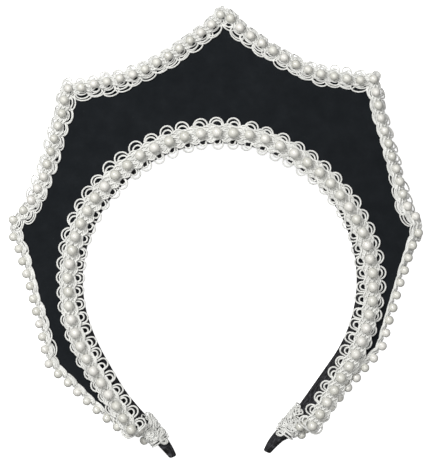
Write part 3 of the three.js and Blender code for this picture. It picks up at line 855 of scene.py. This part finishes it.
def strand_route(place, middles, offset, spread, swing, heights, per_pitch):
    """A strand of the row: close beside each pearl, wider at the waists, and swinging over its neighbours."""
    route = []
    for step in range(per_pitch * (len(middles) - 1) + 1):
        index, part = divmod(step, per_pitch)
        following = middles[min(index + 1, len(middles) - 1)]
        middle = lerp(middles[index], following, part / per_pitch)
        phase = 2 * math.pi * part / per_pitch
        waist = 0.5 - 0.5 * math.cos(phase)
        tight, wide = spread(middle, offset)
        outwards = offset * lerp(tight, wide, waist) + swing * math.sin(phase)
        weave = math.copysign(0.7 * BROW_CORD * math.cos(2 * phase), swing) if swing else 0
        route.append(place(middle, 0, outwards, lerp(*heights, waist) + weave * waist))
    return route


def braid_cords(piece, place, middles, shape, spread, rng, cord, lanes, sides, play):
    """The braid without its pearls: loops round each pearl, and strands along the row between them."""
    for middle in middles:
        loops, lean = shape(middle)
        for loop in loops:
            loop = dict(loop)
            for key in ("row", "outer_width", "inner_width", "inner"):
                loop[key] *= rng.uniform(1 - play, 1 + play)
            loop["outer"] *= rng.uniform(1 - 1.5 * play, 1 + 0.3 * play)
            loop_lean = lean + rng.uniform(-1.8, 1.8) * play
            piece.add_cord(loop_route(place, middle, loop, loop_lean, cord), cord, closed=True, sides=sides)
    for lane in range(lanes):
        offset = 2 * (lane + 0.5) / lanes - 1
        swing = (-1) ** lane * 0.55 * MM
        route = strand_route(place, middles, offset, spread, swing, (2 * cord, 4.2 * cord), 8)
        piece.add_cord(route, cord, sides=sides)
        if lane:
            # Between this strand and the last, a thicker one without a swing lies lower.
            offset = 2 * lane / lanes - 1
            route = strand_route(place, middles, offset, spread, 0, (cord, 2.4 * cord), 4)
            piece.add_cord(route, 1.25 * cord, sides=sides)


def make_brow_braid(cord_material, bead_material, bead):
    rng = random.Random(6)
    count = round(BROW_LINE.length / BROW_PITCH)

    # The pearls stand wider apart over the crown, where the braid is drawn round the bend.
    sides = [abs(2 * (i + 0.5) / count - 1) for i in range(count)]
    pitches = [1 + CROWN_STRETCH * (1 - smoothstep(side, 0.12, 0.5)) for side in sides]
    middles = [(sum(pitches[:i]) + pitches[i] / 2) * BROW_LINE.length / sum(pitches) for i in range(count)]

    def crown_share(middle):
        return 1 - smoothstep(abs(2 * middle / BROW_LINE.length - 1), 0.35, 0.75)

    def shape(middle):
        crown = crown_share(middle)
        side = 2 * middle / BROW_LINE.length - 1
        # The outer loops shorten towards both ends, and the inner ones at the upper and the lower right.
        outer = lerp(BROW_OUTER_TOP, BROW_OUTER_LEFT, smoothstep(-side, 0.42, 0.6))
        if side > 0:
            upper = lerp(BROW_OUTER_TOP, BROW_OUTER_UPPER_RIGHT, smoothstep(side, 0, 0.15))
            outer = lerp(BROW_OUTER_RIGHT, upper, crown) + 1 * MM * swell(side, 0.57, 0.14)
        inner = BROW_INNER - 1.1 * MM * swell(side, 0.31, 0.12) - 0.8 * MM * smoothstep(side, 0.72, 0.82)
        wide = lerp(2.85, 3.1, crown) * MM
        return [
            {"row": wide, "outer_width": wide, "outer": outer,
             "inner_width": 2.3 * MM, "inner": inner, "inner_blunt": 1, "lift": 0},
            {"row": 0.8 * wide, "outer_width": 0.76 * wide, "outer": 0.76 * outer,
             "inner_width": 1.45 * MM, "inner": 0.77 * inner, "inner_blunt": 1, "lift": 0.2},
            {"row": 2.5 * MM, "outer_width": 2.3 * MM, "outer": 2.95 * MM,
             "inner_width": 2.3 * MM, "inner": 3.2 * MM, "inner_blunt": 1, "lift": 0.9},
        ], 0

    def spread(middle, offset):
        if offset > 0:
            return 3 * MM, 4 * MM
        return 3.2 * MM, lerp(3.7, 5, crown_share(middle)) * MM

    cords = Trimming()
    braid_cords(cords, brow_place, middles, shape, spread, rng, BROW_CORD, lanes=8, sides=6, play=0.05)
    beads = Trimming()
    for middle in middles:
        centre = brow_place(middle, 0, rng.uniform(-0.25, 0.25) * MM, rng.uniform(2.9, 3.15) * MM)
        ahead = (brow_place(middle, 1 * MM, 0, 0) - brow_place(middle, -1 * MM, 0, 0)).normalized()
        add_bead(beads, bead, BROW_PEARL * rng.uniform(0.97, 1.02), centre, ahead, rng.random())
    hand_over(cords.make(), "brow_cords", cord_material, "brow_braid", "brow_trim")
    hand_over(beads.make(), "brow_pearls", bead_material, "brow_braid", "brow_trim")


def make_edge_braid(cord_material, bead_material, bead):
    rng = random.Random(11)
    count = round(EDGE_LENGTH / EDGE_PITCH)
    middles = [(i + 0.5) * EDGE_LENGTH / count for i in range(count)]

    def shape(middle):
        along = edge_value("along", middle)
        row = edge_row(middle)
        shingle = swell(along, SHINGLE_MIDDLE, SHINGLE_WIDTH)
        lean = 0.5 * shingle + 0.35 * smoothstep(along, *RIGHT_FLARE_START)
        face = edge_value("face", middle) * EDGE_WIDTH - PANEL_THICKNESS / 2
        turned_down = 0.8 * MM * (1 - smoothstep(row, 0.1, 0.8))
        inner = max(face + FOLD_QUARTER * (1 - row) + turned_down - edge_trim(along), 1 * MM)
        outer = lerp(EDGE_OUTER, EDGE_OUTER_FLARED, edge_flare(middle)) + strayed(along, OUTER_LOOP_STRAYS)
        outer = min(outer, edge_room(middle))
        wide = lerp(EDGE_INNER_WIDTH, EDGE_INNER_SLIM, shingle)
        blunt = min(lerp(0.6, 0.8, shingle), 0.8 * inner / wide)
        loops = []
        for share, inward, outward, lift in EDGE_LOOPS:
            loops.append({
                "row": 2.7 * share * MM, "outer_width": 2.2 * share * MM, "outer": outer * outward,
                "inner_width": wide * share, "inner": inner * inward, "inner_blunt": blunt, "lift": lift})
        return loops, lean

    def spread(middle, offset):
        trimmed = edge_trim(edge_value("along", middle)) / (3 * MM) if offset < 0 else 0
        drawn_in = 1 - 0.55 * clamp(trimmed, 0, 1)
        return 2 * MM * drawn_in, 2.9 * MM * drawn_in

    cords = Trimming()
    braid_cords(cords, edge_place, middles, shape, spread, rng, EDGE_CORD, lanes=6, sides=5, play=0.13)
    beads = Trimming()
    seat = FOLD_INNER - PANEL_THICKNESS / 2 + EDGE_THICKNESS + 0.6 * EDGE_PEARL
    for middle in middles:
        centre = edge_place(middle, 0, rng.uniform(-0.2, 0.2) * MM, seat + rng.uniform(-0.1, 0.1) * MM)
        ahead = (edge_place(middle, 1 * MM, 0, 0) - edge_place(middle, -1 * MM, 0, 0)).normalized()
        add_bead(beads, bead, EDGE_PEARL * rng.uniform(0.98, 1.06), centre, ahead, rng.random())
    hand_over(cords.make(), "edge_cords", cord_material, "edge_braid", "edge_trim")
    hand_over(beads.make(), "edge_pearls", bead_material, "edge_braid", "edge_trim")


def ring_place(arc, turn, grown):
    """A point round the headband at an arc, a little off it: turn 0 is the middle of its outer face."""
    width = band_width(arc)
    radius = BAND_CHAMFER + grown
    corners = [(BAND_THICKNESS, width, 0), (0, width, 1), (0, 0, 2), (BAND_THICKNESS, 0, 3)]
    outline = [Vector((BAND_THICKNESS + grown, width / 2))]
    for across, along, quarter in corners:
        inside = Vector((across, along)) + BAND_CHAMFER * Vector((-1 if across else 1, -1 if along else 1))
        for step in range(4):
            angle = math.pi / 2 * (quarter + step / 3)
            outline.append(inside + Vector((math.cos(angle), math.sin(angle))) * radius)
    outline.append(outline[0])
    ring = Line(outline)
    section = ring.at((turn % 1) * ring.length)
    return band_place(arc, section.x, section.y)


def make_wrap(name, node, side, pull, bead_turns, cord_material, bead_material, bead):
    """The braid's end wound round an arm, with its loops gathered over the winding and pulled up the arm."""
    rng = random.Random(21 + side)
    start = PANEL_ARC + GAP - pull
    cords = Trimming()
    route = []
    for step in range(WRAP_TURNS * WRAP_STEPS + 1):
        share = step / (WRAP_TURNS * WRAP_STEPS)
        arc = lerp(start + 0.4 * MM, start + WRAP_LENGTH - 0.4 * MM, share)
        arc += 0.3 * MM * math.sin(step * 0.35 + 2 * math.sin(step * 0.11))
        grown = GAP + 0.36 * MM + 0.1 * MM * math.sin(step * 2.1)
        route.append(ring_place(side * arc, step / WRAP_STEPS, grown))
    cords.add_cord(route, WRAP_CORD)

    def add_loop(share, turn, length, width, tilt, lift, radius=WRAP_LOOP_CORD):
        """A loop of cord laid on the winding: its length runs round the arm."""
        route = []
        for step in range(WRAP_STEPS):
            angle = 2 * math.pi * step / WRAP_STEPS
            round_by = length * math.cos(angle)
            arc = start + WRAP_LENGTH * share + width * math.sin(angle) + tilt * round_by
            ring_turn = turn + round_by / RING_LENGTH
            # The loops lie flatter on the side that rests on the floor.
            flat = 1 - 0.45 * smoothstep(ring_turn, 0.5, 0.75)
            route.append(ring_place(side * arc, ring_turn, (lift + 0.3 * MM * math.sin(2 * angle)) * flat))
        cords.add_cord(route, radius, closed=True)

    # The right winding is the looser one.
    loose = (1.1 if side > 0 else 0.7) * MM
    for count, shares, turns, lengths, lifts in WRAP_LOOPS:
        for _ in range(count):
            add_loop(rng.uniform(*shares), rng.uniform(*turns), rng.uniform(*lengths) * MM,
                     rng.uniform(0.8, 1.4) * MM, rng.uniform(-0.8, 0.8), rng.uniform(*lifts) * loose)
    # Two loops, one in the other, end it on the side towards the opening.
    for length, width in ((2.3, 1.7), (1.5, 1)):
        add_loop(0.98, 0.5, length * MM, width * MM, 0.2, 0.7 * MM, 0.35 * MM)
    beads = Trimming()
    for share, turn in bead_turns:
        arc = side * (start + WRAP_LENGTH * share)
        centre = ring_place(arc, turn, WRAP_PEARL_LIFT)
        before, after = [ring_place(arc + step, turn, WRAP_PEARL_LIFT) for step in (-1 * MM, 1 * MM)]
        ahead = (after - before).normalized()
        add_bead(beads, bead, EDGE_PEARL, centre, ahead, rng.random())
    hand_over(cords.make(), name + "_cords", cord_material, "wrap_braid", node)
    hand_over(beads.make(), name + "_pearls", bead_material, "wrap_braid", node)


add_camera()
add_studio(lit_acrylic())
gimp = gimp_cord()
lacquer = pearl_lacquer()
bead = model_bead()
make_headband(grosgrain_ribbon())
make_panel(cotton_cloth())
make_brow_braid(gimp, lacquer, bead)
make_edge_braid(gimp, lacquer, bead)
make_wrap("left_wrap", "end_wrap_left", -1, LEFT_WRAP_PULL, LEFT_WRAP_PEARLS, gimp, lacquer, bead)
make_wrap("right_wrap", "end_wrap_right", 1, RIGHT_WRAP_PULL, RIGHT_WRAP_PEARLS, gimp, lacquer, bead)
